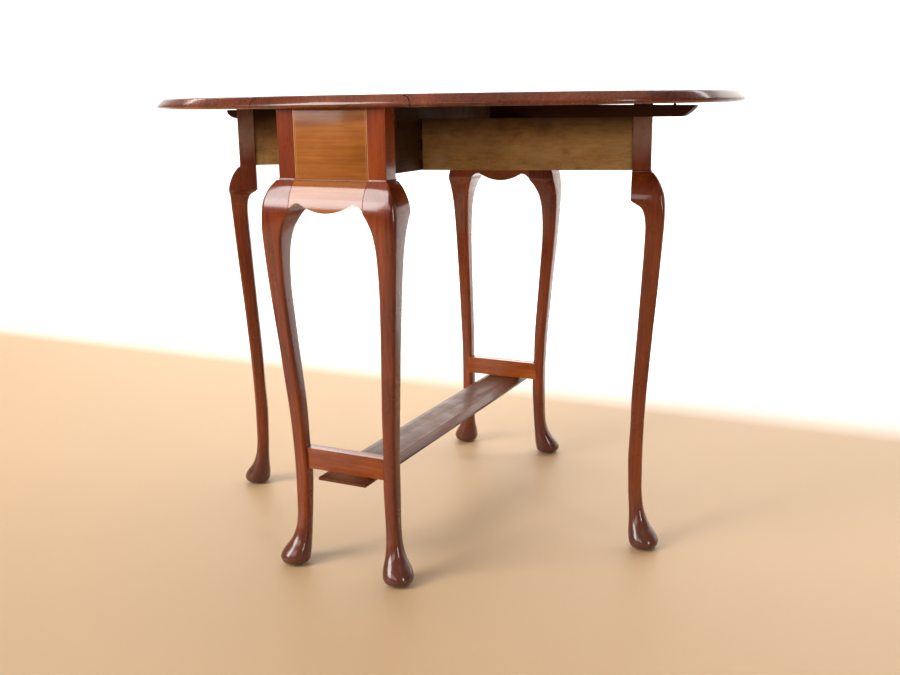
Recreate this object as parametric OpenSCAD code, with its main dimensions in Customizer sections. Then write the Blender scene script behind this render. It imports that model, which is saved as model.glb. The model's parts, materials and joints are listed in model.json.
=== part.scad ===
/* [Top] */
// Height of the table from the floor to the top surface
table_h = 720; // [710:1:730]
// Length of the open oval top, across both leaves
top_len = 1026; // [1010:4:1042]
// Width of the oval top, along the joint lines
top_wid = 676; // [668:2:684]
// Thickness of the three top boards
top_t = 18; // [17.5:0.5:19]
// Width of the fixed centre board between the two rule joints
centre_w = 236; // [232:2:240]

/* [Frame] */
// Width of the frame over its posts
frame_w = 178; // [176:1:180]
// Length of the frame over its posts
frame_len = 640; // [636:1:644]
// Side of the square leg posts
post = 28; // [27:0.5:29]
// Height of the posts and rails above the knees
rail_h = 98; // [96:1:100]
// Distance from the post faces in to the side rails
rail_inset = 50; // [48:1:52]
// Thickness of the long middle rail
centre_rail_t = 25; // [23:1:25]
// Thickness of the end panels
panel_t = 22; // [20:1:24]

/* [Gates] */
// Distance from the middle of the frame to each gate pin, along the frame
pivot_y = 108.7; // [106:0.1:110]
// Distance from a gate pin to the axis of its leg
gate_reach = 351.4; // [348:0.2:354]
// Thickness of the gate rails
gate_t = 23.4; // [22:0.2:23.4]
// Height of the gate knuckles and of the right gate's rail, which passes under its batten
gate_rail_h = 78.7; // [75.7:0.3:78.7]
// Angle that the right gate stands open
right_open = 77.5; // [75:0.5:78]
// Angle that the left gate stands open
left_open = 60.5; // [58:0.5:61]

/* [Battens] */
// Height of the battens under the leaves
batten_h = 19; // [18:0.5:19]
// Width of the battens
batten_w = 28; // [26:1:30]
// Outer end of the right batten, from the middle of the table
right_batten_end = 455; // [450:1:458]
// Outer end of the left batten, from the middle of the table
left_batten_end = 463; // [458:1:466]

/* [Stretcher] */
// Height of the underside of the stretcher rails
stretcher_z = 159; // [155:1:163]
// Height of the stretcher rails
stretcher_h = 33; // [31:1:35]
// Thickness of the stretcher rails
stretcher_t = 17; // [16:1:18]
// Width of the long stretcher board
board_w = 82; // [78:2:86]
// Thickness of the long stretcher board
board_t = 9; // [8:0.5:10]
// Length of the long stretcher board
board_len = 664; // [660:2:668]
// How far the board sits to the right of the middle
board_shift = 4; // [0:1:4]

/* [Hidden] */
$fn = 48;

legwood = "#7c3a1c";
topwood = "#8f4f2c";
panelwood = "#a05a2c";
plainwood = "#8a6238";
darkwood = "#3a1d10";
steel = "#6d6a64";
brass = "#a98a4c";

under_z = table_h - top_t;          // underside of the top boards
knee_z = under_z - rail_h;          // bottom of the posts, top of the knees
leg_x = frame_w / 2 - post / 2;     // axes of the fixed posts
leg_y = frame_len / 2 - post / 2;
joint_x = centre_w / 2;             // rule joints
running = 0.3;                      // clearance between pieces that move past each other
glide_t = 2.5;

// ---------- rule joint and hinges ----------
pin_up = 3;                         // hinge pin above the underside, so a knuckle ends flush
pin_z = under_z + pin_up;
fillet_h = 3;                       // square step above the quarter round
ovolo_r = top_t - pin_up - fillet_h;
cove_r = ovolo_r + 0.4;
joint_gap = 0.8;
knuckle_r = 3;
pin_r = 1.25;
plate_t = 2;
hinge_w = 30;
hinge_y = 200;
fixed_plate_len = 34;
leaf_plate_len = 48;
fixed_screws = [[26, 8], [14, -8]];             // from the joint line, and along it
leaf_screws = [[22, 8], [32, -8], [42, 8]];
rail_side_x = frame_w / 2 - rail_inset;         // outer faces of the side rails
pivot_x = rail_side_x - running - gate_t / 2;
gate_pin_r = 3;
gate_pin_bore = 3.05;

// ---------- oval outline with a moulded rim ----------
rim_layers = 4;
layer_t = top_t / rim_layers;
rim_nose = 4.6;                     // height of the rim's outermost point
rim_under = 4.4;                    // how far it is cut back at the underside
rim_over = 12.5;                    // and at the top

function rim_inset(h) = h < rim_nose
    ? rim_under * pow(1 - h / rim_nose, 2)
    : rim_over * pow((h - rim_nose) / (top_t - rim_nose), 1.5);
function oval(inset) = [for (t = [0 : 5 : 355])
    [(top_len / 2 - inset) * cos(t), (top_wid / 2 - inset) * sin(t)]];

module oval_slab() {
    for (i = [0 : rim_layers - 1])
        translate([0, 0, under_z + i * layer_t])
            linear_extrude(layer_t) polygon(oval(rim_inset((i + 0.5) * layer_t)));
}

module along_y(r, len) {
    rotate([90, 0, 0]) cylinder(r = r, h = len, center = true);
}

module wood_screw(r, head_r, head_h, len) {
    cylinder(r = head_r, h = head_h, $fn = 24);
    translate([0, 0, head_h]) cylinder(r = r, h = len - head_h, $fn = 24);
}

module hinge_screws_at(places) {
    for (side = [-1, 1], p = places)
        translate([joint_x + p[0], side * hinge_y + p[1], under_z])
            wood_screw(1.5, 2.8, 1, 12);
}

module both_hinges() {
    for (side = [-1, 1]) translate([joint_x, side * hinge_y, 0]) children();
}

// ---------- cabriole legs ----------
// One leg stands on the axis of its post and points its knee along +X and +Y. A station is
// [height, outer face, inner face, rounding of the front, side and back arrises], with the
// faces measured from the post axis and the rounding as a share of the half width.
shin = [
    [glide_t, 33.5, 0.5, 1, 1, 1],
    [6, 38.6, -4.4, 1, 1, 1],
    [14, 40.8, -6.6, 1, 1, 1],
    [25, 35.8, -7.2, 1, 1, 1],
    [40, 25.4, -6.6, 1, 1, 1],
    [60, 17.9, -6.3, 1, 1, 1],
    [80, 15.2, -6.8, 1, 1, 1],
    [100, 14.2, -7.3, 1, 1, 1],
    [150, 13.7, -8.5, 0.9, 0.9, 0.9],
    [200, 14.7, -6.4, 0.85, 0.85, 0.85],
    [250, 17, -5.5, 0.75, 0.75, 0.75],
    [300, 20.5, -3, 0.65, 0.65, 0.65],
    [350, 24, 0, 0.6, 0.6, 0.6],
    [400, 28, 2.8, 0.55, 0.55, 0.55]];
knee_fixed = [
    [450, 31.8, 5, 0.5, 0.5, 0.5],
    [500, 35.2, 4, 0.45, 0.4, 0.4],
    [530, 37, 0, 0.4, 0.2, 0.2],
    [550, 37, -8, 0.35, 0.08, 0.08],
    [560, 36.4, -14, 0.3, 0.04, 0.04]];
knee_gate = [
    [450, 31.8, 5.5, 0.5, 0.5, 0.5],
    [500, 35.2, 8, 0.45, 0.4, 0.4],
    [530, 37, 8, 0.4, 0.2, 0.2],
    [550, 37, 2, 0.35, 0.08, 0.08],
    [561, 36.4, -14, 0.3, 0.04, 0.04]];
knee_top = [
    [571, 34.5, -14, 0.25, 0.04, 0.04],
    [583, 30, -14, 0.2, 0.04, 0.04],
    [592, 25, -14, 0.15, 0.04, 0.04],
    [599, 19.5, -14, 0.1, 0.04, 0.04],
    [knee_z, 16, -14, 0.06, 0.04, 0.04]];
fixed_leg = concat(shin, knee_fixed, knee_top);
gate_leg = concat(shin, knee_gate, knee_top);

// Slope of column c at station i, and a smooth value between stations i and i + 1.
function slope(s, i, c) = let (a = max(i - 1, 0), b = min(i + 1, len(s) - 1))
    (s[b][c] - s[a][c]) / (s[b][0] - s[a][0]);
function between(s, i, t, c) = let (dz = s[i + 1][0] - s[i][0])
    s[i][c] * (1 + 2 * t) * pow(1 - t, 2) + s[i + 1][c] * (3 - 2 * t) * t * t
    + dz * (slope(s, i, c) * t * pow(1 - t, 2) - slope(s, i + 1, c) * t * t * (1 - t));
function rows(s) = concat(
    [for (i = [0 : len(s) - 2], t = [0, 0.5]) [s[i][0] + t * (s[i + 1][0] - s[i][0]),
        for (c = [1 : 5]) max(between(s, i, t, c), -post / 2)]],
    [s[len(s) - 1]]);
corner_steps = 4;
function ring(r, splay) = let (mid = (r[1] + r[2]) / 2 + splay, half = (r[1] - r[2]) / 2,
    round_by = [r[3], r[4], r[5], r[4]])
    [for (k = [0 : 3], j = [0 : corner_steps]) let (a = k * 90 + j * 90 / corner_steps,
        c = k * 90 + 45, q = half * min(round_by[k], 0.98))
        [mid + sign(cos(c)) * (half - q) + q * cos(a),
         mid + sign(sin(c)) * (half - q) + q * sin(a), r[0]]];
ring_n = 4 * (corner_steps + 1);
post_rows = [for (z = [knee_z + 0.5, under_z]) [z, post / 2, -post / 2, 0.04, 0.04, 0.04]];

// The leg as one skin over its rings, with flat ends.
module leg(stations, top_z, foot_splay) {
    body_rows = rows(stations);
    all_rows = concat(body_rows, [post_rows[0]], [[top_z, post / 2, -post / 2, 0.04, 0.04, 0.04]]);
    n = len(all_rows);
    points = [for (r = all_rows) for (p = ring(r, foot_splay * max(0, 1 - r[0] / 90))) p];
    sides = [for (i = [0 : n - 2], j = [0 : ring_n - 1]) let (k = (j + 1) % ring_n)
        each [[i * ring_n + j, (i + 1) * ring_n + j, (i + 1) * ring_n + k],
              [i * ring_n + j, (i + 1) * ring_n + k, i * ring_n + k]]];
    polyhedron(points = points, faces = concat(sides,
        [[for (j = [0 : ring_n - 1]) j]],
        [[for (j = [ring_n - 1 : -1 : 0]) (n - 1) * ring_n + j]]));
}

module at_corner(sx, sy) {
    mirror([sx < 0 ? 1 : 0, 0, 0]) mirror([0, sy < 0 ? 1 : 0, 0])
        translate([leg_x, leg_y, 0]) children();
}

module fixed_leg(sx, sy) {
    color(legwood) at_corner(sx, sy) leg(fixed_leg, under_z, 0);
}

foot_out = 17;                      // centre of a fixed foot from its post axis
gate_splay = 3;                     // the gate feet stand this much further out
glide_r = 8;

module glides_fixed() {
    color(darkwood)
        for (sx = [-1, 1], sy = [-1, 1]) at_corner(sx, sy)
            translate([foot_out, foot_out, 0]) cylinder(r = glide_r, h = glide_t);
}

// ---------- frame ----------
panel_x = leg_x - post / 2;         // half the clear width between two posts

module end_panel(sy) {
    color(panelwood)
        translate([-panel_x, sy > 0 ? frame_len / 2 - panel_t : -frame_len / 2, knee_z])
            cube([2 * panel_x, panel_t, rail_h]);
}

// The apron bulges like the knees beside it and has a shaped lower edge: a round lobe in the
// middle, a point on each side of it, and a sweep into each leg.
apron_low = knee_z - 47;
lobe_half = 44;
lobe_rise = 14;
lobe_r = (pow(lobe_half, 2) + pow(lobe_rise, 2)) / (2 * lobe_rise);
sweep_drop = 9;

peak_soft = 1.5;                    // how soft the two points are
function lobe_edge(x) = lobe_r - sqrt(lobe_r * lobe_r - x * x);
function sweep_edge(x) = lobe_rise
    - sweep_drop * pow(max(abs(x) - lobe_half, 0) / (panel_x - lobe_half), 2);
function apron_edge(x) = apron_low
    - peak_soft * ln(exp(-lobe_edge(x) / peak_soft) + exp(-sweep_edge(x) / peak_soft));

module apron() {
    front_low = 36.4;               // the bulge's reach along the shaped edge, as on the knees
    front = [for (r = rows(knee_top)) [leg_y + r[1], r[0]]];
    color(legwood) intersection() {
        translate([-panel_x, 0, 0]) rotate([90, 0, 90]) linear_extrude(2 * panel_x)
            polygon(concat([[leg_y - post / 2, apron_low - 1], [leg_y + front_low, apron_low - 1],
                [leg_y + front_low, 561]], front, [[leg_y - post / 2, knee_z]]));
        translate([0, frame_len, 0]) rotate([90, 0, 0]) linear_extrude(frame_len)
            polygon(concat([[panel_x, knee_z], [-panel_x, knee_z]],
                [for (i = [-16 : 16]) [i * panel_x / 16, apron_edge(i * panel_x / 16)]]));
    }
}

module centre_rail() {
    len = frame_len - 2 * panel_t;
    color(plainwood) translate([-centre_rail_t / 2, -len / 2, knee_z])
        cube([centre_rail_t, len, rail_h]);
}

fingers = 5;                        // even ones belong to the frame, odd ones to the gate
finger_h = gate_rail_h / fingers;
shoulder = gate_t / 2 + 0.6;        // from a gate pin to the square shoulders of its knuckle

// A side rail runs from its end panel to a wooden knuckle that holds the gate pin.
module side_rail_right() {
    panel_y = -frame_len / 2 + panel_t;
    color(darkwood) difference() {
        union() {
            translate([centre_rail_t / 2, panel_y, knee_z])
                cube([rail_side_x - centre_rail_t / 2, -pivot_y - shoulder - panel_y, rail_h]);
            for (i = [0 : 2 : fingers - 1]) translate([pivot_x, -pivot_y, knee_z + i * finger_h]) {
                cylinder(r = gate_t / 2, h = finger_h);
                translate([-gate_t / 2, -shoulder, 0]) cube([gate_t, shoulder, finger_h]);
            }
        }
        translate([pivot_x, -pivot_y, knee_z - 1]) cylinder(r = gate_pin_r, h = gate_rail_h + 2);
        top_screws_right(true);
    }
}

module gate_pin_right() {
    translate([pivot_x, -pivot_y, knee_z]) cylinder(r = gate_pin_r, h = gate_rail_h);
}

// The top is held by screws in sloping pockets that open in the side rails' outer faces.
pocket_z = 26;                      // middle of a pocket's mouth below the top boards
pocket_slope = 40;                  // from upright
pocket_depth = 14;
pocket_r = 3;

// With pockets, the shape also has the empty pocket below each screw head.
module top_screws_right(pockets) {
    low = pockets ? -pocket_depth : pocket_depth;
    for (y = [-262, -191]) translate([rail_side_x, y, under_z - pocket_z])
        rotate([0, -pocket_slope, 0]) {
            translate([0, 0, low]) cylinder(r = pocket_r, h = pocket_depth + 2 - low);
            translate([0, 0, pocket_depth]) cylinder(r = 1.8, h = 31);
        }
}

block_size = [20, 34, 60];

module glue_block_far() {
    translate([centre_rail_t / 2, frame_len / 2 - panel_t - block_size[1], under_z - block_size[2]])
        cube(block_size);
}

// ---------- stretcher ----------
ankle_off = 2.8;                    // leg centre from the post axis at the stretcher
ankle_r = 11.6;
stretcher_screw_x = 26;

module stretcher_rail(sy) {
    color(legwood) mirror([0, sy < 0 ? 1 : 0, 0]) difference() {
        translate([-leg_x, leg_y - stretcher_t / 2, stretcher_z])
            cube([2 * leg_x, stretcher_t, stretcher_h]);
        for (sx = [-1, 1]) translate([sx * (leg_x + ankle_off), leg_y + ankle_off, stretcher_z - 1])
            cylinder(r = ankle_r, h = stretcher_h + 2);
        stretcher_screws_far();
    }
}

module stretcher_screws_far() {
    for (sx = [-1, 1]) translate([sx * stretcher_screw_x, leg_y, stretcher_z - board_t])
        wood_screw(2.2, 4.5, 3, 26);
}

module stretcher_screws() {
    color(steel) for (sy = [0, 1]) mirror([0, sy, 0]) stretcher_screws_far();
}

module stretcher_board() {
    bevel = 4;
    color(legwood) difference() {
        translate([board_shift, board_len / 2, stretcher_z - board_t]) rotate([90, 0, 0])
            linear_extrude(board_len)
                polygon([[-board_w / 2, 0], [board_w / 2, 0], [board_w / 2, board_t - bevel],
                    [board_w / 2 - bevel, board_t], [bevel - board_w / 2, board_t],
                    [-board_w / 2, board_t - bevel]]);
        for (sy = [0, 1]) mirror([0, sy, 0]) stretcher_screws_far();
    }
}

// ---------- top ----------
module hinge_pocket() {
    translate([-fixed_plate_len, -hinge_w / 2 - 0.2, under_z - 1])
        cube([fixed_plate_len - 3, hinge_w + 0.4, plate_t + 1]);
    translate([-3.6, -hinge_w / 2 - 0.4, under_z - 1])
        cube([ovolo_r + 5, hinge_w + 0.8, pin_up + 1]);
    translate([0, 0, pin_z]) along_y(knuckle_r + 0.4, hinge_w + 0.8);
}

module top_centre() {
    color(topwood) difference() {
        intersection() {
            oval_slab();
            union() {
                translate([-joint_x, -top_wid, under_z]) cube([centre_w, 2 * top_wid, top_t]);
                for (sx = [-1, 1]) translate([sx * joint_x, 0, pin_z]) along_y(ovolo_r, 2 * top_wid);
            }
        }
        for (sx = [0, 1]) mirror([sx, 0, 0]) {
            both_hinges() hinge_pocket();
            fixed_hinge_screws_right();
        }
        for (a = [0, 180]) rotate([0, 0, a]) top_screws_right(false);
    }
}

module leaf(screws_x) {
    color(topwood) difference() {
        intersection() {
            oval_slab();
            translate([joint_x + joint_gap, -top_wid, under_z]) cube([top_len, 2 * top_wid, top_t]);
        }
        translate([joint_x, 0, pin_z]) along_y(cove_r, 2 * top_wid);
        both_hinges() translate([0, -hinge_w / 2 - 0.2, under_z - 1])
            cube([leaf_plate_len + 0.2, hinge_w + 0.4, plate_t + 1]);
        hinge_screws_at(leaf_screws);
        batten_screws(screws_x);
    }
}

module fixed_hinge_screws_right() {
    for (side = [-1, 1], p = fixed_screws)
        translate([joint_x - p[0], side * hinge_y + p[1], under_z]) wood_screw(1.5, 2.8, 1, 12);
}

module hinge_plate_fixed() {
    difference() {
        union() {
            translate([-fixed_plate_len, -hinge_w / 2, under_z])
                cube([fixed_plate_len - knuckle_r - running, hinge_w, plate_t]);
            translate([-knuckle_r - running, -hinge_w / 6, under_z])
                cube([knuckle_r + running, hinge_w / 3, plate_t]);
            translate([0, 0, pin_z]) along_y(knuckle_r, hinge_w / 3);
        }
        translate([0, 0, pin_z]) along_y(pin_r, hinge_w);
    }
}

module hinge_plate_leaf() {
    outer = hinge_w / 3 - running;
    difference() {
        union() {
            translate([knuckle_r + running, -hinge_w / 2, under_z])
                cube([leaf_plate_len - knuckle_r - running, hinge_w, plate_t]);
            for (side = [-1, 1]) translate([0, side * (hinge_w / 2 - outer / 2), 0]) {
                translate([0, -outer / 2, under_z]) cube([knuckle_r + running, outer, plate_t]);
                translate([0, 0, pin_z]) along_y(knuckle_r, outer);
            }
        }
        translate([0, 0, pin_z]) along_y(pin_r + 0.05, hinge_w + 2);
    }
}

module hinge_plates_fixed() {
    color(brass) for (sx = [0, 1]) mirror([sx, 0, 0]) difference() {
        both_hinges() hinge_plate_fixed();
        fixed_hinge_screws_right();
    }
}

module hinge_pins() {
    color(brass) for (sx = [0, 1]) mirror([sx, 0, 0])
        both_hinges() translate([0, 0, pin_z]) along_y(pin_r, hinge_w);
}

module hinge_screws_fixed() {
    color(steel) for (sx = [0, 1]) mirror([sx, 0, 0]) fixed_hinge_screws_right();
}

module hinge_plates_leaf() {
    color(brass) difference() {
        both_hinges() hinge_plate_leaf();
        hinge_screws_at(leaf_screws);
    }
}

// ---------- battens ----------
// Each batten is drawn under the right leaf. Its top falls away from the leaf towards the outer
// end, where the lower corner is cut back in a curve.
batten_y = -78;                     // near side of a batten, just clear of the open right gate
batten_gap = 3;
batten_fall_x = 240;                // where its top starts to fall away
nose_lip = 4;                       // height of its outer end above the curve
right_batten_start = 140;
left_batten_start = 160;            // clear of the open left gate, whose rail has its full height
right_screws_x = [165, 300, 424];
left_screws_x = [185, 300, 424];

// The nose is cut back by the given length, in a curve from round (1) to straight (2).
module batten(start, out, nose, bend, screws_x) {
    low = under_z - batten_h;
    color(darkwood) difference() {
        translate([0, batten_y + batten_w, 0]) rotate([90, 0, 0]) linear_extrude(batten_w)
            polygon(concat([[start, low], [start, under_z], [batten_fall_x, under_z],
                [out, under_z - batten_gap]],
                [for (a = [0 : 15 : 90]) [out - nose + nose * pow(cos(a), bend),
                    under_z - nose_lip - (batten_h - nose_lip) * pow(sin(a), bend)]]));
        batten_screws(screws_x);
    }
}

module batten_screws(screws_x) {
    for (x = screws_x) translate([x, batten_y + batten_w / 2, under_z - batten_h])
        wood_screw(2, 4, 2, batten_h + 11);
}

// ---------- gates ----------
// A gate is drawn closed along +Y from its pin on the right side of the frame.
module gate_rail(h) {
    difference() {
        union() {
            translate([-gate_t / 2, shoulder, knee_z])
                cube([gate_t, gate_reach - post / 2 - shoulder, h]);
            for (i = [1 : 2 : fingers - 1])
                translate([0, 0, knee_z + i * finger_h + running]) {
                    cylinder(r = gate_t / 2, h = finger_h - 2 * running);
                    translate([-gate_t / 2, 0, 0]) cube([gate_t, shoulder, finger_h - 2 * running]);
                }
        }
        translate([0, 0, knee_z - 1]) cylinder(r = gate_pin_bore, h = gate_rail_h + 2);
    }
}

module right_gate() {
    translate([pivot_x, -pivot_y, 0]) rotate([0, 0, -right_open]) children();
}

module left_gate() {
    translate([-pivot_x, pivot_y, 0]) rotate([0, 0, 180 - left_open]) children();
}

module gate_leg_closed() {
    translate([0, gate_reach, 0]) leg(gate_leg, under_z - running, gate_splay);
}

module gate_glide_closed() {
    translate([foot_out + gate_splay, gate_reach + foot_out + gate_splay, 0])
        cylinder(r = glide_r, h = glide_t);
}

// ---------- the pieces ----------
fixed_leg(-1, -1);  // leg_near_left
fixed_leg(1, -1);  // leg_near_right
fixed_leg(-1, 1);  // leg_far_left
fixed_leg(1, 1);  // leg_far_right
end_panel(-1);  // end_panel_near
end_panel(1);  // end_panel_far
mirror([0, 1, 0]) apron();  // apron_near
apron();  // apron_far
centre_rail();
rotate([0, 0, 180]) side_rail_right();  // side_rail_left
side_rail_right();
color(steel) rotate([0, 0, 180]) gate_pin_right();  // gate_pin_left
color(steel) gate_pin_right();
stretcher_rail(-1);  // stretcher_rail_near
stretcher_rail(1);  // stretcher_rail_far
stretcher_board();
stretcher_screws();
color(plainwood) for (a = [0, 180]) rotate([0, 0, a]) glue_block_far();  // glue_blocks
top_centre();
color(steel) for (a = [0, 180]) rotate([0, 0, a]) top_screws_right(false);  // top_screws
hinge_plates_fixed();
hinge_pins();
hinge_screws_fixed();
glides_fixed();
rotate([0, 0, 180]) leaf(left_screws_x);  // leaf_left
rotate([0, 0, 180]) batten(left_batten_start, left_batten_end, 26, 1, left_screws_x);  // batten_left
color(steel) rotate([0, 0, 180]) batten_screws(left_screws_x);  // batten_screws_left
rotate([0, 0, 180]) hinge_plates_leaf();  // hinge_plates_left
color(steel) rotate([0, 0, 180]) hinge_screws_at(leaf_screws);  // hinge_screws_left
leaf(right_screws_x);  // leaf_right
batten(right_batten_start, right_batten_end, 18, 1.6, right_screws_x);  // batten_right
color(steel) batten_screws(right_screws_x);  // batten_screws_right
hinge_plates_leaf();  // hinge_plates_right
color(steel) hinge_screws_at(leaf_screws);  // hinge_screws_right
color(plainwood) left_gate() gate_rail(rail_h - running);  // gate_rail_left
color(legwood) left_gate() gate_leg_closed();  // gate_leg_left
color(darkwood) left_gate() gate_glide_closed();  // glide_gate_left
color(plainwood) right_gate() gate_rail(gate_rail_h);  // gate_rail_right
color(legwood) right_gate() gate_leg_closed();  // gate_leg_right
color(darkwood) right_gate() gate_glide_closed();  // glide_gate_right
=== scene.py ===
import json
import math

import bmesh
import bpy
from mathutils import Matrix, Vector


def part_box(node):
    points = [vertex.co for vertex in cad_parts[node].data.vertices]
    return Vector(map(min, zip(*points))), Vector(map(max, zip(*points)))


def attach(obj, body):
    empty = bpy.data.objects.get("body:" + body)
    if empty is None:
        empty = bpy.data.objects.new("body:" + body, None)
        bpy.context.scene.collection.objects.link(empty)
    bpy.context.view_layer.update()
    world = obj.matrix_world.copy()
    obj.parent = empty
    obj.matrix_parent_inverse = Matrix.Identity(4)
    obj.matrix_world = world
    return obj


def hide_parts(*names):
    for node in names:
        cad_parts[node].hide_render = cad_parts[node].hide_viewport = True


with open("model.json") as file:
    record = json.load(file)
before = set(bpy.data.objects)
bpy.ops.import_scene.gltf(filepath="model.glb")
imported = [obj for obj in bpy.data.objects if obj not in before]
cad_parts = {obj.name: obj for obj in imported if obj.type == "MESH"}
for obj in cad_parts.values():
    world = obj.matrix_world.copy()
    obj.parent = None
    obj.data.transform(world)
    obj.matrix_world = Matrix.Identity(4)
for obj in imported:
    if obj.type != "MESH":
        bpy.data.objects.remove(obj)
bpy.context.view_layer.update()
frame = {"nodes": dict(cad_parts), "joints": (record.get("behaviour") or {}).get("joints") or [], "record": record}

MM = 0.001

# ---------------------------------------------------------------- sizes from the frame

TOP_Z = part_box("top_centre")[1].z
UNDER_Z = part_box("top_centre")[0].z
TOP_T = TOP_Z - UNDER_Z
OVAL_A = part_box("leaf_right")[1].x
OVAL_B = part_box("top_centre")[1].y
JOINT = {j["name"]: j for j in frame["joints"]}
PIN_X, _, PIN_Z = JOINT["leaf_right_hinge"]["pos_m"]
PIVOT_X, PIVOT_Y, _ = JOINT["gate_right_swing"]["pos_m"]
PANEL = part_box("end_panel_far")
KNEE_Z = PANEL[0].z
FRAME_Y = PANEL[1].y
PANEL_X = PANEL[1].x
POST = 28 * MM
LEG_X = PANEL_X + POST / 2
LEG_Y = FRAME_Y - POST / 2
GATE_REACH = 351.4 * MM
GATE_SPLAY = 3                      # in mm: the gate feet stand this much further out
RUNNING = 0.3 * MM                  # clearance between pieces that move past each other
# Turn of each open gate, in degrees, from a gate that is shut along +Y of its pin.
OPEN = {"right": -77.5, "left": 180 - 60.5}


# ---------------------------------------------------------------- mesh helpers

def make_object(name, bm, sharp_angle=35):
    """A new object from a bmesh, smooth but for edges sharper than the angle, in degrees."""
    bmesh.ops.recalc_face_normals(bm, faces=bm.faces)
    mesh = bpy.data.meshes.new(name)
    bm.to_mesh(mesh)
    bm.free()
    obj = bpy.data.objects.new(name, mesh)
    bpy.context.scene.collection.objects.link(obj)
    shade(obj, sharp_angle)
    return obj


def shade(obj, sharp_angle):
    obj.data.polygons.foreach_set("use_smooth", [True] * len(obj.data.polygons))
    obj.data.set_sharp_from_angle(angle=math.radians(sharp_angle))


def settle(obj):
    """Replaces an object's mesh with the result of its modifiers."""
    graph = bpy.context.evaluated_depsgraph_get()
    mesh = bpy.data.meshes.new_from_object(obj.evaluated_get(graph))
    obj.modifiers.clear()
    obj.data = mesh
    return obj


def bevel(obj, width, segments=3):
    """Rounds the edges that are sharper than 40 degrees."""
    mod = obj.modifiers.new("bevel", "BEVEL")
    mod.width = width
    mod.segments = segments
    mod.limit_method = "ANGLE"
    mod.angle_limit = math.radians(40)
    mod.harden_normals = False
    settle(obj)
    shade(obj, 50)
    return obj


def copy_of(node, name):
    """A new object with a CAD node's shape, its flat faces whole again."""
    bm = bmesh.new()
    bm.from_mesh(frame["nodes"][node].data)
    bmesh.ops.remove_doubles(bm, verts=bm.verts, dist=0.005 * MM)
    bmesh.ops.dissolve_limit(bm, angle_limit=math.radians(0.5), verts=bm.verts, edges=bm.edges)
    return make_object(name, bm)


def boxes(spans):
    """A bmesh of boxes, each given by its lowest and highest corner."""
    bm = bmesh.new()
    for lo, hi in spans:
        made = bmesh.ops.create_cube(bm, size=1)["verts"]
        for v in made:
            v.co = Vector([lo[i] if v.co[i] < 0 else hi[i] for i in range(3)])
    return bm


def loft(rings, close_ends=True, closed=True):
    """A bmesh skin over rings that all have the same number of points."""
    bm = bmesh.new()
    rows = [[bm.verts.new(p) for p in ring] for ring in rings]
    n = len(rows[0])
    for a, b in zip(rows, rows[1:]):
        for j in range(n if closed else n - 1):
            k = (j + 1) % n
            bm.faces.new((a[j], a[k], b[k], b[j]))
    if close_ends:
        bm.faces.new(rows[0])
        bm.faces.new(rows[-1])
    return bm


def place(obj, body, material, slot, *nodes):
    """Finishes a piece: what it is made of, what it moves with and which CAD nodes it stands for."""
    obj.data.materials.clear()
    obj.data.materials.append(material)
    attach(obj, body)
    if nodes:
        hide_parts(*nodes)
    return obj


# ---------------------------------------------------------------- materials

def srgb(r, g, b):
    """Linear colour from a 0 to 255 screen colour."""
    def lin(c):
        c /= 255
        return c / 12.92 if c <= 0.04045 else ((c + 0.055) / 1.055) ** 2.4
    return (lin(r), lin(g), lin(b), 1.0)


class Nodes:
    """A short way to write a material's node tree."""

    def __init__(self, name):
        self.material = bpy.data.materials.new(name)
        self.material.use_nodes = True
        self.tree = self.material.node_tree
        self.shader = self.tree.nodes["Principled BSDF"]

    def add(self, kind, settings=None, **inputs):
        node = self.tree.nodes.new("ShaderNode" + kind)
        for key, value in (settings or {}).items():
            setattr(node, key, value)
        for key, value in inputs.items():
            self.feed(node.inputs[key.replace("_", " ")], value)
        return node

    def feed(self, socket, value):
        if isinstance(value, bpy.types.NodeSocket):
            self.tree.links.new(value, socket)
        else:
            socket.default_value = value

    def coords(self, scale, turn=(0, 0, 0), shift=(0, 0, 0)):
        """Object coordinates, turned and then scaled."""
        place_at = self.add("TexCoord").outputs["Object"]
        turned = self.add("Mapping", Vector=place_at, Rotation=turn, Location=shift)
        return self.add("Mapping", Vector=turned.outputs[0], Scale=scale).outputs[0]

    def noise(self, where, scale, detail=4, rough=0.55, bend=0):
        node = self.add("TexNoise", Vector=where, Scale=scale, Detail=detail, Roughness=rough,
                        Distortion=bend)
        return node.outputs["Fac"]

    def ramp(self, value, stops):
        node = self.add("ValToRGB", Fac=value)
        items = node.color_ramp.elements
        while len(items) < len(stops):
            items.new(0.5)
        for item, (at, colour) in zip(items, stops):
            item.position = at
            item.color = colour
        return node.outputs["Color"]

    def mix(self, fac, a, b, how="MIX"):
        node = self.tree.nodes.new("ShaderNodeMix")
        node.data_type = "RGBA"
        node.blend_type = how
        for socket, value in zip((node.inputs[0], node.inputs[6], node.inputs[7]), (fac, a, b)):
            self.feed(socket, value)
        return node.outputs[2]

    def maths(self, how, a, b=0.0):
        node = self.add("Math", {"operation": how})
        for socket, value in zip(node.inputs, (a, b)):
            self.feed(socket, value)
        return node.outputs[0]

    def span(self, value, low, high, to_low=0.0, to_high=1.0):
        """A value from low to high, carried to another range and held at its ends."""
        node = self.add("MapRange", Value=value)
        for name, number in (("From Min", low), ("From Max", high), ("To Min", to_low),
                             ("To Max", to_high)):
            node.inputs[name].default_value = number
        return node.outputs["Result"]

    def where(self, axis):
        """Distance from the origin along X, Y or Z, in metres."""
        place_at = self.add("TexCoord").outputs["Object"]
        return self.add("SeparateXYZ", Vector=place_at).outputs[axis]

    def bump(self, value, strength, distance):
        return self.add("Bump", Height=value, Strength=strength, Distance=distance).outputs[0]


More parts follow.
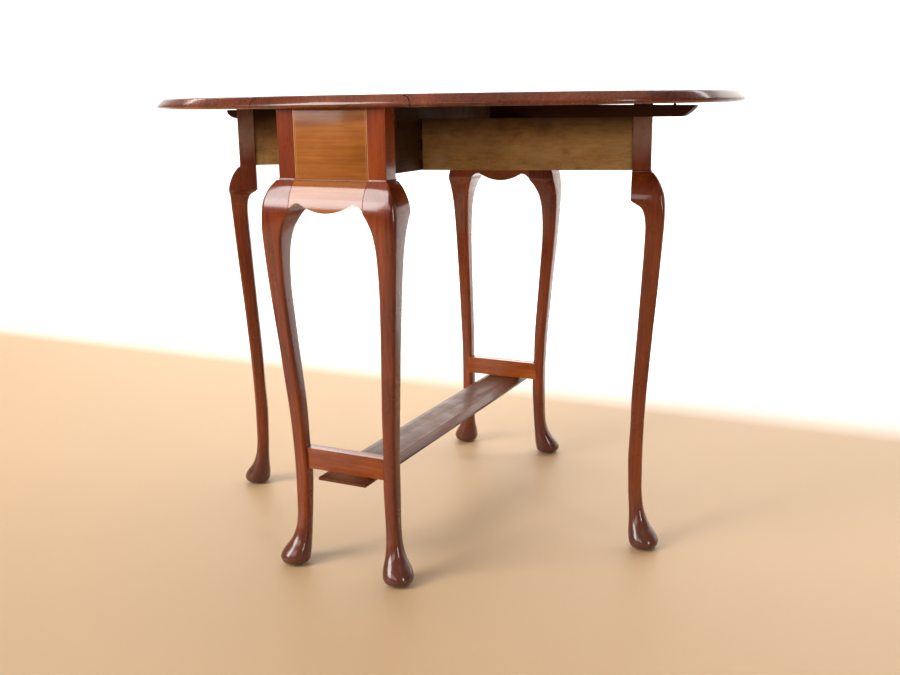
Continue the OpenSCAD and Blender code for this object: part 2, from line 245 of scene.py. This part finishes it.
def grain_turn(axis):
    """Turns object coordinates so that the wood's grain, along the axis, runs along X."""
    return {"x": (0, 0, 0), "y": (0, 0, -math.pi / 2), "z": (0, math.pi / 2, 0)}[axis]


def wood(name, dark, mid, light, axis="z", figure=14, polish=0.8, rough=0.3, pores=0.35,
         shine=0.1, marks_and_painted_light=None):
    """Straight-grained wood: broad figure, fine streaks and pores along the grain, and polish."""
    m = Nodes(name)
    angle = grain_turn(axis)
    broad = m.noise(m.coords((0.18, 1, 1), angle), figure, 5, 0.6, 0.6)
    streak = m.noise(m.coords((0.035, 1, 1), angle), 260, 4, 0.6)
    pore = m.noise(m.coords((0.05, 1, 1), angle), 1500, 2, 0.5)
    tone = m.maths("ADD", m.maths("MULTIPLY", broad, 0.65), m.maths("MULTIPLY", streak, 0.35))
    colour = m.ramp(tone, [(0.34, dark), (0.5, mid), (0.66, light)])
    pits = m.maths("MULTIPLY", m.span(pore, 0.56, 0.72), pores)
    colour = m.mix(pits, colour, m.mix(1.0, colour, (0.5, 0.42, 0.38, 1), "MULTIPLY"))
    blotch = m.noise(m.coords((1, 1, 1)), 7, 3, 0.6)
    colour = m.mix(m.span(blotch, 0.35, 0.7, 0, 0.3), colour,
                   m.mix(1.0, colour, (0.7, 0.6, 0.56, 1), "MULTIPLY"))
    # An extra colour layer: stains, inlay and dulling towards the floor, and on some pieces a painted sheen and a
    # painted shadow.
    if marks_and_painted_light:
        colour = marks_and_painted_light(m, colour)
    m.feed(m.shader.inputs["Base Color"], colour)
    m.feed(m.shader.inputs["Roughness"],
           m.span(m.noise(m.coords((1, 1, 1)), 30, 4, 0.6), 0.3, 0.7, rough * 0.75, rough * 1.25))
    m.feed(m.shader.inputs["Normal"], m.bump(m.maths("SUBTRACT", streak, pits), 0.08, 0.2 * MM))
    m.shader.inputs["Specular IOR Level"].default_value = shine
    m.shader.inputs["Coat Weight"].default_value = polish
    m.shader.inputs["Coat Roughness"].default_value = 0.12
    m.shader.inputs["Coat IOR"].default_value = 1.5
    return m.material


def duller_near_floor(m, colour):
    """Legs go dull and brown towards the floor."""
    low = m.span(m.where("Z"), 0.02, 0.11, 0.75, 0.0)
    return m.mix(low, colour, srgb(74, 44, 36))


def painted_sheen(m, colour):
    """Painted sheen: patches of grey-beige reflected light near the top of a gate leg's square post, the light
    that a hazy polish scatters.
    """
    up = m.span(m.where("Z"), 0.612, 0.662)
    down = m.span(m.where("Z"), 0.68, 0.7, 1.0, 0.2)
    patch = m.span(m.noise(m.coords((1, 1, 1)), 20, 4, 0.6), 0.3, 0.6, 0.5, 1.0)
    # painted sheen: grey-beige reflected light painted in patches on the upper part of the post
    sheen = m.maths("MULTIPLY", m.maths("MULTIPLY", up, down), m.maths("MULTIPLY", patch, 0.6))
    return m.mix(sheen, duller_near_floor(m, colour), srgb(176, 148, 130))


def strung(m, colour):
    """Fine pale lines of inlay down both sides of a panel."""
    across = m.maths("ABSOLUTE", m.where("X"))
    for in_from_post, show in ((0.8 * MM, 0.7), (3.6 * MM, 0.3)):
        off = m.maths("ABSOLUTE", m.maths("SUBTRACT", across, PANEL_X - in_from_post))
        colour = m.mix(m.span(off, 0.25 * MM, 0.5 * MM, show, 0), colour, srgb(196, 150, 110))
    return colour


def stains_and_shadow(m, colour):
    """Mottled bare wood with old brown stains, a painted shadow of the top along the rail's upper edge and dark
    knuckles.
    """
    spots = m.noise(m.coords((1, 1, 1)), 28, 5, 0.7)
    colour = m.mix(m.span(spots, 0.45, 0.7, 0, 0.5), colour, srgb(150, 122, 86))
    patch = m.noise(m.coords((1, 1, 1), shift=(3, 1, 0)), 11, 4, 0.6)
    colour = m.mix(m.span(patch, 0.56, 0.7, 0, 0.6), colour, srgb(78, 44, 26))
    scuff = m.noise(m.coords((0.6, 1, 1), shift=(7, 2, 5)), 9, 5, 0.65)
    colour = m.mix(m.span(scuff, 0.55, 0.72, 0, 0.5), colour, srgb(176, 156, 130))
    # painted shadow: the top's shadow painted dark brown along the upper edge of the rail
    colour = m.mix(m.span(m.where("Z"), 0.652, 0.69, 0.0, 0.93), colour, srgb(40, 24, 13))
    across = m.maths("SUBTRACT", m.maths("ABSOLUTE", m.where("X")), PIVOT_X)
    along = m.maths("SUBTRACT", m.maths("ABSOLUTE", m.where("Y")), abs(PIVOT_Y))
    from_pin = m.maths("SQRT", m.maths("ADD", m.maths("MULTIPLY", across, across),
                                       m.maths("MULTIPLY", along, along)))
    return m.mix(m.span(from_pin, 16.5 * MM, 18 * MM, 0.9, 0), colour, srgb(44, 28, 14))


def metal(name, colour, tarnish, rough):
    m = Nodes(name)
    marks = m.noise(m.coords((1, 1, 1)), 400, 4, 0.6)
    m.feed(m.shader.inputs["Base Color"], m.mix(m.span(marks, 0.4, 0.65), colour, tarnish))
    m.feed(m.shader.inputs["Roughness"], m.span(marks, 0.3, 0.7, rough * 0.8, rough * 1.3))
    m.feed(m.shader.inputs["Normal"], m.bump(marks, 0.15, 0.05 * MM))
    m.shader.inputs["Metallic"].default_value = 1.0
    return m.material


LEG = wood("mahogany_leg", srgb(78, 25, 5), srgb(114, 44, 10), srgb(140, 62, 16), "z",
           marks_and_painted_light=duller_near_floor)
GATE_LEG = wood("mahogany_gate_leg", srgb(76, 27, 9), srgb(104, 43, 14), srgb(126, 58, 21), "z",
                marks_and_painted_light=painted_sheen)
APRON = wood("mahogany_apron", srgb(106, 50, 7), srgb(140, 74, 14), srgb(164, 94, 24), "x")
PANEL_VENEER = wood("mahogany_panel", srgb(104, 56, 15), srgb(134, 76, 24), srgb(156, 96, 36), "x",
                    figure=22, rough=0.4, polish=0.2, marks_and_painted_light=strung)
TOP = wood("mahogany_top", srgb(68, 27, 15), srgb(98, 44, 24), srgb(124, 64, 36), "y",
           figure=10, rough=0.25)
STRETCHER = wood("mahogany_stretcher", srgb(104, 42, 8), srgb(134, 60, 14), srgb(158, 80, 22), "x")
BOARD = wood("mahogany_board", srgb(64, 30, 16), srgb(84, 44, 23), srgb(104, 58, 32), "y",
             polish=0.15, rough=0.4)
RAIL = wood("plain_gate_rail", srgb(116, 82, 42), srgb(150, 114, 66), srgb(172, 136, 84), "x",
            figure=18, polish=0.0, rough=0.6, pores=0.6, shine=0.1, marks_and_painted_light=stains_and_shadow)
SIDE = wood("dark_side_rail", srgb(44, 26, 12), srgb(58, 36, 17), srgb(72, 46, 24), "y",
            polish=0.0, rough=0.7, shine=0.08)
BATTEN = wood("dark_batten", srgb(36, 14, 5), srgb(52, 23, 9), srgb(66, 32, 15), "x",
              polish=0.0, rough=0.6, shine=0.12)
BARE = wood("bare_softwood", srgb(96, 66, 38), srgb(140, 104, 64), srgb(168, 130, 86), "z",
            polish=0.0, rough=0.7, pores=0.6, shine=0.1)
PAD = wood("foot_pad", srgb(20, 14, 10), srgb(38, 28, 22), srgb(56, 42, 34), "z", polish=0.0,
           rough=0.7)
BRASS = metal("aged_brass", srgb(150, 118, 62), srgb(84, 62, 36), 0.4)
STEEL = metal("dulled_steel", srgb(128, 122, 114), srgb(70, 62, 54), 0.45)


# ---------------------------------------------------------------- cabriole legs

# Stations of a leg in mm, at the CAD legs' heights and faces: height, outer face, inner face and
# the rounding of the front, side and back arrises, as a share of the half width.
SHIN = [
    [2.5, 33.5, 0.5, 1, 1, 1], [6, 38.6, -4.4, 1, 1, 1], [14, 40.8, -6.6, 1, 1, 1],
    [25, 35.8, -7.2, 1, 1, 1], [40, 25.4, -6.6, 0.95, 0.95, 0.95],
    [60, 17.9, -6.3, 0.85, 0.85, 0.85], [80, 15.2, -6.8, 0.7, 0.75, 0.75],
    [100, 14.2, -7.3, 0.55, 0.65, 0.65], [150, 13.7, -8.5, 0.42, 0.55, 0.55],
    [200, 14.7, -6.4, 0.38, 0.5, 0.5], [250, 17, -5.5, 0.36, 0.5, 0.5],
    [300, 20.5, -3, 0.34, 0.5, 0.5], [350, 24, 0, 0.32, 0.45, 0.5],
    [400, 28, 2.8, 0.3, 0.4, 0.5]]
KNEE = {
    "fixed": [[450, 31.8, 5, 0.32, 0.35, 0.5], [500, 35.2, 4, 0.36, 0.3, 0.4],
              [530, 37, 0, 0.38, 0.2, 0.2], [550, 37, -8, 0.38, 0.08, 0.08],
              [560, 36.4, -14, 0.36, 0.04, 0.04]],
    "gate": [[450, 31.8, 5.5, 0.32, 0.35, 0.5], [500, 35.2, 8, 0.36, 0.3, 0.4],
             [530, 37, 8, 0.38, 0.2, 0.2], [550, 37, 2, 0.38, 0.08, 0.08],
             [561, 36.4, -14, 0.36, 0.04, 0.04]]}
KNEE_TOP = [
    [571, 34.5, -14, 0.3, 0.04, 0.04], [583, 30, -14, 0.24, 0.04, 0.04],
    [592, 25, -14, 0.18, 0.04, 0.04], [599, 19.5, -14, 0.12, 0.04, 0.04],
    [601, 17.6, -14, 0.1, 0.04, 0.04]]
# A small quirk and a fine bead where the knees meet the posts: height and outer face.
LEDGE = [[601.5, 14.4], [601.9, 14.3], [602.2, 15.6], [603.1, 15.5], [604.0, 14.9]]
POST_FOOT = 604.3                   # height where the plain square post starts
POST_LEVELS = [612, 640, 670]
SPLAY_TOP = 90                      # height up to which a gate's foot is splayed


def smooth_rows(stations, steps):
    """Rows between the stations, on a cubic curve through them."""
    def slope(i, c):
        a, b = stations[max(i - 1, 0)], stations[min(i + 1, len(stations) - 1)]
        return (b[c] - a[c]) / (b[0] - a[0])

    rows = []
    for i in range(len(stations) - 1):
        s, e = stations[i], stations[i + 1]
        dz = e[0] - s[0]
        for k in range(steps):
            t = k / steps
            row = [s[0] + t * dz]
            for c in range(1, 6):
                value = (s[c] * (1 + 2 * t) * (1 - t) ** 2 + e[c] * (3 - 2 * t) * t * t
                         + dz * (slope(i, c) * t * (1 - t) ** 2 - slope(i + 1, c) * t * t * (1 - t)))
                row.append(max(value, -POST / MM / 2))
            rows.append(row)
    return rows + [list(stations[-1])]


def leg_ring(row, splay):
    """The outline of a leg at one station: a square with its four arrises rounded."""
    z, out, back, front_round, side_round, back_round = row
    mid = (out + back) / 2 + splay
    half = (out - back) / 2
    corners = (((1, 1), front_round), ((-1, 1), side_round), ((-1, -1), back_round),
               ((1, -1), side_round))
    steps = 7
    ring = []
    for k, ((sx, sy), share) in enumerate(corners):
        q = half * min(share, 0.98)
        for j in range(steps + 1):
            a = math.radians(90 * k + 90 * j / steps)
            ring.append(Vector((mid + sx * (half - q) + q * math.cos(a),
                                mid + sy * (half - q) + q * math.sin(a), z)) * MM)
    return ring


def leg(name, kind, top_z, splay=0):
    """A leg on its post axis, with its knee along +X and +Y and a softened ledge at the knee."""
    half = POST / MM / 2
    rows = smooth_rows(SHIN + KNEE[kind] + KNEE_TOP, 4)
    rows += [[z, out, -half, 0.08, 0.04, 0.04] for z, out in LEDGE]
    rows.append([POST_FOOT, half, -half, 0.04, 0.04, 0.04])
    rows += [[z, half, -half, 0.05, 0.05, 0.05] for z in POST_LEVELS + [top_z / MM]]
    rings = [leg_ring(row, splay * max(0, 1 - row[0] / SPLAY_TOP)) for row in rows]
    return make_object(name, loft(rings), 42)


def turn(obj, matrix):
    """Moves the points of an object, and keeps its faces the right way out when it is mirrored."""
    obj.data.transform(matrix)
    if matrix.determinant() < 0:
        obj.data.flip_normals()
    obj.data.update()
    return obj


def build_legs():
    for y_name, sy in (("near", -1), ("far", 1)):
        for x_name, sx in (("left", -1), ("right", 1)):
            node = f"leg_{y_name}_{x_name}"
            piece = leg(node + "_turned", "fixed", UNDER_Z)
            turn(piece, Matrix.Diagonal((sx, sy, 1, 1)) @ Matrix.Translation((LEG_X, LEG_Y, 0)))
            place(piece, "frame", LEG, "polished_legs", node)
    for side, sign in (("right", 1), ("left", -1)):
        piece = leg(f"gate_leg_{side}_turned", "gate", UNDER_Z - RUNNING, GATE_SPLAY)
        turn(piece, gate_matrix(side, sign) @ Matrix.Translation((0, GATE_REACH, 0)))
        place(piece, f"gate_{side}", GATE_LEG, "polished_legs", f"gate_leg_{side}")


def gate_matrix(side, sign):
    """From a gate closed along +Y of its own pin to where it stands open."""
    return (Matrix.Translation((sign * PIVOT_X, sign * PIVOT_Y, 0))
            @ Matrix.Rotation(math.radians(OPEN[side]), 4, "Z"))


# ---------------------------------------------------------------- top boards

# Inset and height above the underside of the rim's moulding: an undercut, a small round nose, a
# broad sloping band and a soft turn into the top.
RIM = [(4.4, 0.0), (3.2, 0.7), (1.8, 1.6), (0.7, 2.8), (0.1, 4.0), (0.0, 4.7), (0.2, 5.6),
       (0.7, 6.8), (1.5, 8.1), (2.5, 9.6), (3.7, 11.2), (5.0, 12.9), (6.5, 14.7), (7.8, 16.1),
       (9.2, 17.2), (10.8, 17.8), (12.5, 18.0)]
# The rule joint, round the hinge pin: the quarter round of the centre board, the cove of the leaf,
# and the gap between the two square steps above them.
OVOLO_R = 12 * MM
COVE_R = 13.2 * MM
LIP_GAP = 1.3 * MM


def rim_profile():
    return [(inset * MM, UNDER_Z + h / RIM[-1][1] * TOP_T) for inset, h in RIM]


def oval_point(inset, angle):
    return (OVAL_A - inset) * math.cos(angle), (OVAL_B - inset) * math.sin(angle)


def angle_at(inset, x):
    return math.acos(x / (OVAL_A - inset))


def leaf_edge(z):
    """Where the leaf begins at a height: a square lip over a cove round the hinge pin."""
    rise = z - PIN_Z
    lip = PIN_X + LIP_GAP
    if abs(rise) >= COVE_R:
        return lip
    return max(lip, PIN_X + math.sqrt(COVE_R * COVE_R - rise * rise))


def fixed_edge(z):
    """Where the centre board ends at a height: a quarter round below a square step."""
    rise = z - PIN_Z
    if rise >= OVOLO_R:
        return PIN_X
    return PIN_X + math.sqrt(OVOLO_R * OVOLO_R - rise * rise)


def joint_levels():
    """The rim's levels, about 0.8 mm apart, with one at each step of the rule joint."""
    levels = rim_profile()
    full = []
    for (i0, z0), (i1, z1) in zip(levels, levels[1:]):
        n = max(1, round((z1 - z0) / (0.8 * MM)))
        full += [(i0 + (i1 - i0) * k / n, z0 + (z1 - z0) * k / n) for k in range(n)]
    full.append(levels[-1])
    for z in (PIN_Z + COVE_R, PIN_Z + OVOLO_R):
        for k, ((i0, z0), (i1, z1)) in enumerate(zip(full, full[1:])):
            if z0 < z - 1e-6 and z + 1e-6 < z1:
                full.insert(k + 1, (i0 + (i1 - i0) * (z - z0) / (z1 - z0), z))
                break
    return full


def leaf_board(name):
    """The right leaf: rings along the rim from one end of the joint to the other, one a level."""
    n = 150
    rings = []
    for inset, z in joint_levels():
        t0 = angle_at(inset, leaf_edge(z))
        rings.append([Vector((*oval_point(inset, -t0 + 2 * t0 * k / n), z)) for k in range(n + 1)])
    return make_object(name, loft(rings), 30)


def centre_board(name):
    """The fixed board: each ring runs along one joint, round one end, back and round the other."""
    n = 36
    rings = []
    for inset, z in joint_levels():
        t0 = angle_at(inset, fixed_edge(z))
        sweep = math.pi - 2 * t0
        end = [Vector((*oval_point(inset, t0 + sweep * k / n), z)) for k in range(n + 1)]
        rings.append(end + [Vector((-p.x, -p.y, p.z)) for p in end])
    return make_object(name, loft(rings), 30)


HINGE_W = 30 * MM
HINGE_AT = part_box("hinge_plates_right")[1].y - HINGE_W / 2
PLATE_T = 2 * MM
FIXED_PLATE_IN = PIN_X - 34 * MM
LEAF_PLATE_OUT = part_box("hinge_plates_right")[1].x
KNUCKLE_R = 3 * MM
HINGE_PLAY = 0.4 * MM


def cut(obj, spans, rods=()):
    """Cuts boxes and round grooves along Y out of a board."""
    bm = boxes(spans)
    for x, y, z, radius, length in rods:
        made = bmesh.ops.create_cone(bm, cap_ends=True, segments=40, radius1=radius, radius2=radius,
                                     depth=length)["verts"]
        bmesh.ops.transform(bm, verts=made, matrix=Matrix.Translation((x, y, z))
                            @ Matrix.Rotation(math.pi / 2, 4, "X"))
    return cut_with(obj, make_object(obj.name + "_cutter", bm), "DIFFERENCE")


def cut_with(obj, cutter, operation):
    """Cuts an object with another one, which is then removed."""
    mod = obj.modifiers.new("cut", "BOOLEAN")
    mod.object = cutter
    mod.operation = operation
    mod.solver = "EXACT"
    mod.use_self = True
    settle(obj)
    bpy.data.objects.remove(cutter)
    shade(obj, 30)
    return obj


def build_top():
    board = centre_board("top_centre_moulded")
    wide, below, plate_top = HINGE_W / 2 + HINGE_PLAY, UNDER_Z - 1 * MM, UNDER_Z + PLATE_T
    spans, rods = [], []
    for sx in (-1, 1):
        for y in (-HINGE_AT, HINGE_AT):
            for inner, outer, top in ((FIXED_PLATE_IN, PIN_X - KNUCKLE_R, plate_top),
                                      (PIN_X - KNUCKLE_R - 0.6 * MM, PIN_X + OVOLO_R + 1 * MM, PIN_Z)):
                near, far = sorted((sx * inner, sx * outer))
                spans.append(((near, y - wide, below), (far, y + wide, top)))
            rods.append((sx * PIN_X, y, PIN_Z, KNUCKLE_R + HINGE_PLAY, 2 * wide))
    cut(board, spans, rods)
    place(board, "frame", TOP, "polished_top", "top_centre")
    for side, sign in (("right", 1), ("left", -1)):
        piece = leaf_board(f"leaf_{side}_moulded")
        plate_end = LEAF_PLATE_OUT + 0.2 * MM
        cut(piece, [((PIN_X, y - wide, below), (plate_end, y + wide, plate_top))
                    for y in (-HINGE_AT, HINGE_AT)])
        if sign < 0:
            turn(piece, Matrix.Rotation(math.pi, 4, "Z"))
        place(piece, f"leaf_{side}", TOP, "polished_top", f"leaf_{side}")


# ---------------------------------------------------------------- aprons

APRON_BACK = LEG_Y - POST / 2
APRON_LOW = KNEE_Z - 47 * MM
LOBE_HALF = 44 * MM
LOBE_RISE = 14 * MM
SWEEP_DROP = 9 * MM
PEAK_SOFT = 1.5 * MM


def apron_edge(x):
    """Height of the shaped lower edge: a round lobe, a soft point, a sweep down into the leg."""
    x = abs(x)
    r = (LOBE_HALF ** 2 + LOBE_RISE ** 2) / (2 * LOBE_RISE)
    lobe = r - math.sqrt(r * r - x * x)
    past = max(x - LOBE_HALF, 0) / (PANEL_X - LOBE_HALF)
    sweep = LOBE_RISE - SWEEP_DROP * past ** 2
    blend = math.exp(-lobe / PEAK_SOFT) + math.exp(-sweep / PEAK_SOFT)
    return APRON_LOW - PEAK_SOFT * math.log(blend)


def knee_front():
    """The knee's outer face as a list of (height, distance from the post axis), top first."""
    rows = smooth_rows(KNEE["fixed"][2:] + KNEE_TOP, 6) + LEDGE[:-1]
    return [(row[0] * MM, row[1] * MM) for row in reversed(rows)]


def front_at(profile, z):
    """The front's distance from the post axis at a height."""
    for (z1, y1), (z0, y0) in zip(profile, profile[1:]):
        if z >= z0:
            return y0 + (y1 - y0) * (z - z0) / (z1 - z0)
    return profile[-1][1]


def apron(name):
    """Columns across the apron, each one up the back, down the front and to the shaped edge."""
    profile = knee_front()
    crack = 0.15 * MM
    half = PANEL_X - crack
    columns, low_rows, plain_front = 40, 14, 30 * MM
    xs = {half * i / columns for i in range(-columns, columns + 1)} | {-LOBE_HALF, LOBE_HALF}
    rings = []
    for x in sorted(xs):
        low = apron_edge(x)
        ring = [Vector((x, APRON_BACK, low)), Vector((x, APRON_BACK, KNEE_Z))]
        ring.append(Vector((x, FRAME_Y, KNEE_Z)))
        levels = [z for z, _ in profile if z > KNEE_Z - plain_front]
        for k in range(1, low_rows):
            levels.append(levels[-1] - (levels[-1] - low) * k / low_rows)
        levels.append(low)
        ring += [Vector((x, LEG_Y + front_at(profile, z), z)) for z in levels]
        rings.append(ring)
    return make_object(name, loft(rings), 35)


def build_aprons():
    for name, sy in (("near", -1), ("far", 1)):
        piece = apron(f"apron_{name}_shaped")
        turn(piece, Matrix.Diagonal((1, sy, 1, 1)))
        place(piece, "frame", APRON, "polished_legs", f"apron_{name}")


# ---------------------------------------------------------------- plain pieces with softened edges

def soften(node, material, slot, width, segments=3):
    """A CAD node again, with its sharp edges eased by a width in mm."""
    piece = copy_of(node, node + "_eased")
    bevel(piece, width * MM, segments)
    place(piece, body_of(node), material, slot, node)
    return piece


def chamfered_board():
    """The stretcher board, cut to a shape that has a broad, shallow chamfer round its top."""
    low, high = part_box("stretcher_board")
    across, rise, spare = 13 * MM, 4.5 * MM, 1 * MM
    steep = rise / across
    rings = []
    for grow, z in ((spare, low.z - spare), (spare, high.z - rise - spare * steep),
                    (-across - spare, high.z + spare * steep)):
        x0, x1, y0, y1 = low.x - grow, high.x + grow, low.y - grow, high.y + grow
        rings.append([Vector(p) for p in ((x0, y0, z), (x1, y0, z), (x1, y1, z), (x0, y1, z))])
    piece = copy_of("stretcher_board", "stretcher_board_chamfered")
    cut_with(piece, make_object("board_keep", loft(rings)), "INTERSECT")
    bevel(piece, 0.5 * MM)
    place(piece, "frame", BOARD, "polished_legs", "stretcher_board")


def body_of(node):
    return next(b for b, nodes in frame["record"]["behaviour"]["bodies"].items() if node in nodes)


def build_plain_pieces():
    for end in ("near", "far"):
        soften(f"end_panel_{end}", PANEL_VENEER, "polished_panel", 0.4)
        soften(f"stretcher_rail_{end}", STRETCHER, "polished_legs", 1.2)
    for side in ("left", "right"):
        soften(f"side_rail_{side}", SIDE, "dark_rail", 0.8)
        soften(f"gate_rail_{side}", RAIL, "plain_rail", 0.3)
        soften(f"batten_{side}", BATTEN, "dark_rail", 0.4)
        soften(f"hinge_plates_{side}", BRASS, "brass", 0.2, segments=2)
        soften(f"gate_pin_{side}", STEEL, "steel", 0.3, segments=2)
        soften(f"batten_screws_{side}", STEEL, "steel", 0.2, segments=2)
        soften(f"hinge_screws_{side}", STEEL, "steel", 0.15, segments=2)
        soften(f"glide_gate_{side}", PAD, "glide", 0.6)
    soften("centre_rail", SIDE, "plain_rail", 0.8)
    chamfered_board()
    soften("glue_blocks", BARE, "plain_rail", 1.0)
    soften("hinge_plates_fixed", BRASS, "brass", 0.2, segments=2)
    soften("hinge_pins", BRASS, "brass", 0.1, segments=2)
    for node in ("stretcher_screws", "top_screws", "hinge_screws_fixed"):
        soften(node, STEEL, "steel", 0.15, segments=2)
    soften("glides_fixed", PAD, "glide", 0.6)


# ---------------------------------------------------------------- camera, light and floor

def camera():
    """The view from the front right, a little above the top, with a slight roll."""
    azimuth, pitch, roll = (math.radians(a) for a in (25.81, 13.146, -0.84))
    back = Vector((math.sin(azimuth) * math.cos(pitch), -math.cos(azimuth) * math.cos(pitch),
                   math.sin(pitch)))
    right = Vector((math.cos(azimuth), math.sin(azimuth), 0))
    up = back.cross(right)
    x_axis = math.cos(roll) * right + math.sin(roll) * up
    y_axis = -math.sin(roll) * right + math.cos(roll) * up
    data = bpy.data.cameras.new("camera")
    data.sensor_width = 36
    data.lens = 40.36
    obj = bpy.data.objects.new("camera", data)
    turned = Matrix((x_axis, y_axis, back)).transposed().to_4x4()
    obj.matrix_world = Matrix.Translation((0.77665, -1.54769, 0.70815)) @ turned
    bpy.context.scene.collection.objects.link(obj)
    bpy.context.scene.camera = obj


def area_light(name, at, target, size, power, colour=(1, 1, 1)):
    """A rectangular light, placed in metres, that faces a target."""
    data = bpy.data.lights.new(name, "AREA")
    data.shape = "RECTANGLE"
    data.size, data.size_y = size
    data.energy = power
    data.color = colour
    obj = bpy.data.objects.new(name, data)
    aim = Vector(target) - Vector(at)
    obj.matrix_world = Matrix.Translation(at) @ aim.to_track_quat("-Z", "Y").to_matrix().to_4x4()
    bpy.context.scene.collection.objects.link(obj)


def floor_material():
    """A pale warm floor that turns into a white wall a little way behind the table."""
    m = Nodes("pale_floor")
    behind = m.add("SeparateXYZ", Vector=m.add("TexCoord").outputs["Object"]).outputs["Y"]
    colour = m.mix(m.span(behind, 0.66, 0.9), srgb(180, 148, 112), srgb(250, 250, 247))
    m.feed(m.shader.inputs["Base Color"], colour)
    m.shader.inputs["Roughness"].default_value = 0.5
    return m.material


def studio():
    """A pale floor that curves up into a wall far behind the table, and soft light."""
    bpy.context.scene.view_settings.view_transform = "Standard"
    world = bpy.data.worlds.new("studio")
    world.use_nodes = True
    world.node_tree.nodes["Background"].inputs["Color"].default_value = (1.0, 0.97, 0.92, 1)
    world.node_tree.nodes["Background"].inputs["Strength"].default_value = 0.16
    bpy.context.scene.world = world
    depth, reach, radius, height = 3.0, 9.0, 0.6, 5.0
    line = [(-reach, 0.0)]
    line += [(depth - radius + radius * math.sin(a), radius - radius * math.cos(a))
             for a in (math.pi / 2 * k / 12 for k in range(13))]
    line.append((depth, height))
    rings = [[Vector((x, y, z)) for x in (-reach, reach)] for y, z in line]
    floor = make_object("studio_floor", loft(rings, close_ends=False, closed=False), 60)
    floor.data.materials.append(floor_material())
    daylight = (1, 0.98, 0.95)
    area_light("window", (-2.7, -3.5, 3.0), (0, 0, 0.6), (2.2, 3.9), 310, daylight)
    area_light("window_row", (-1.7, -4.2, 2.2), (0, 0, 0.6), (7.0, 1.3), 90, daylight)
    area_light("side_window", (3.6, -1.9, 1.3), (0, 0, 0.5), (0.4, 1.4), 36, daylight)
    area_light("ceiling", (0.2, -0.8, 3.4), (0, 0, 0), (4.5, 3.0), 20, (1, 0.95, 0.88))
    area_light("wall_wash", (-0.6, 1.5, 3.0), (-0.8, 3.0, 1.0), (9.0, 0.8), 210)


camera()
studio()
build_legs()
build_top()
build_aprons()
build_plain_pieces()
